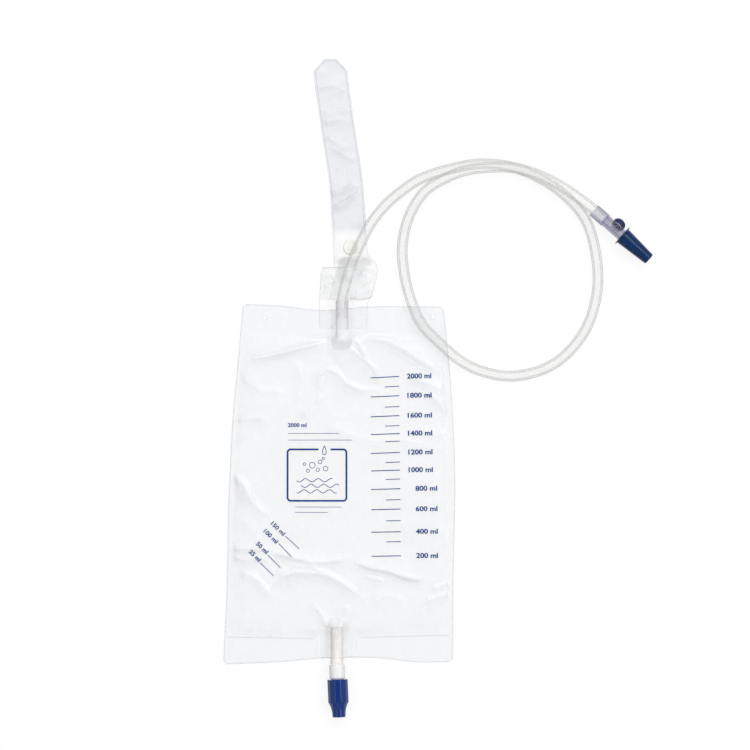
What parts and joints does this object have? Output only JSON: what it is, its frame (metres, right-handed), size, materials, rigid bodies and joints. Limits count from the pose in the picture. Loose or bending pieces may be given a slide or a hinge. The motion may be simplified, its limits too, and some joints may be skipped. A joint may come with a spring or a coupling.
{
  "type": "urine drainage bag",
  "caption": "Flat clear film drainage bag with hanging strap, coiled clear inlet tube, capped catheter connector and push-pull drain valve.",
  "frame": {"origin": "centre of the bag's underside, on the surface it lies on", "axes": "+Y up the bag to its hanging strap, +Z out of its front, +X to the right seen from the front"},
  "size_m": [0.3854, 0.5919, 0.0203],
  "materials": {
    "film": "clear soft film",
    "leaf": "thin clear film",
    "strap": "frosted film",
    "violet_plastic": "tinted clear",
    "tube": "clear flexible tube",
    "cream_pvc": "soft satin",
    "white_plastic": "satin",
    "button": "satin",
    "seal": "matte",
    "valve_blue": "satin",
    "cap_blue": "satin"
  },
  "bodies": {
    "bag": {"back_film": "film", "front_film": "film", "valve_back_leaf": "leaf", "valve_front_leaf": "leaf", "inlet_port": "violet_plastic", "hanging_strap": "strap", "neck_cover": "strap", "hang_button": "button", "drain_tube": "cream_pvc", "valve_body": "white_plastic", "valve_seal_ring": "seal", "inlet_tube": "tube", "catheter_connector": "violet_plastic", "sample_septum": "cap_blue"},
    "sleeve": {"drain_sleeve": "valve_blue"},
    "cap": {"protective_cap": "cap_blue"}
  },
  "joints": [
    {"name": "drain_slide", "type": "slide", "parent": "bag", "child": "sleeve", "axis": [0.0419, -0.9991, 0], "range_m": [0, 0.006]},
    {"name": "cap_pull", "type": "slide", "parent": "bag", "child": "cap", "axis": [0.7479, -0.6639, 0], "range_m": [0, 0.04]}
  ]
}
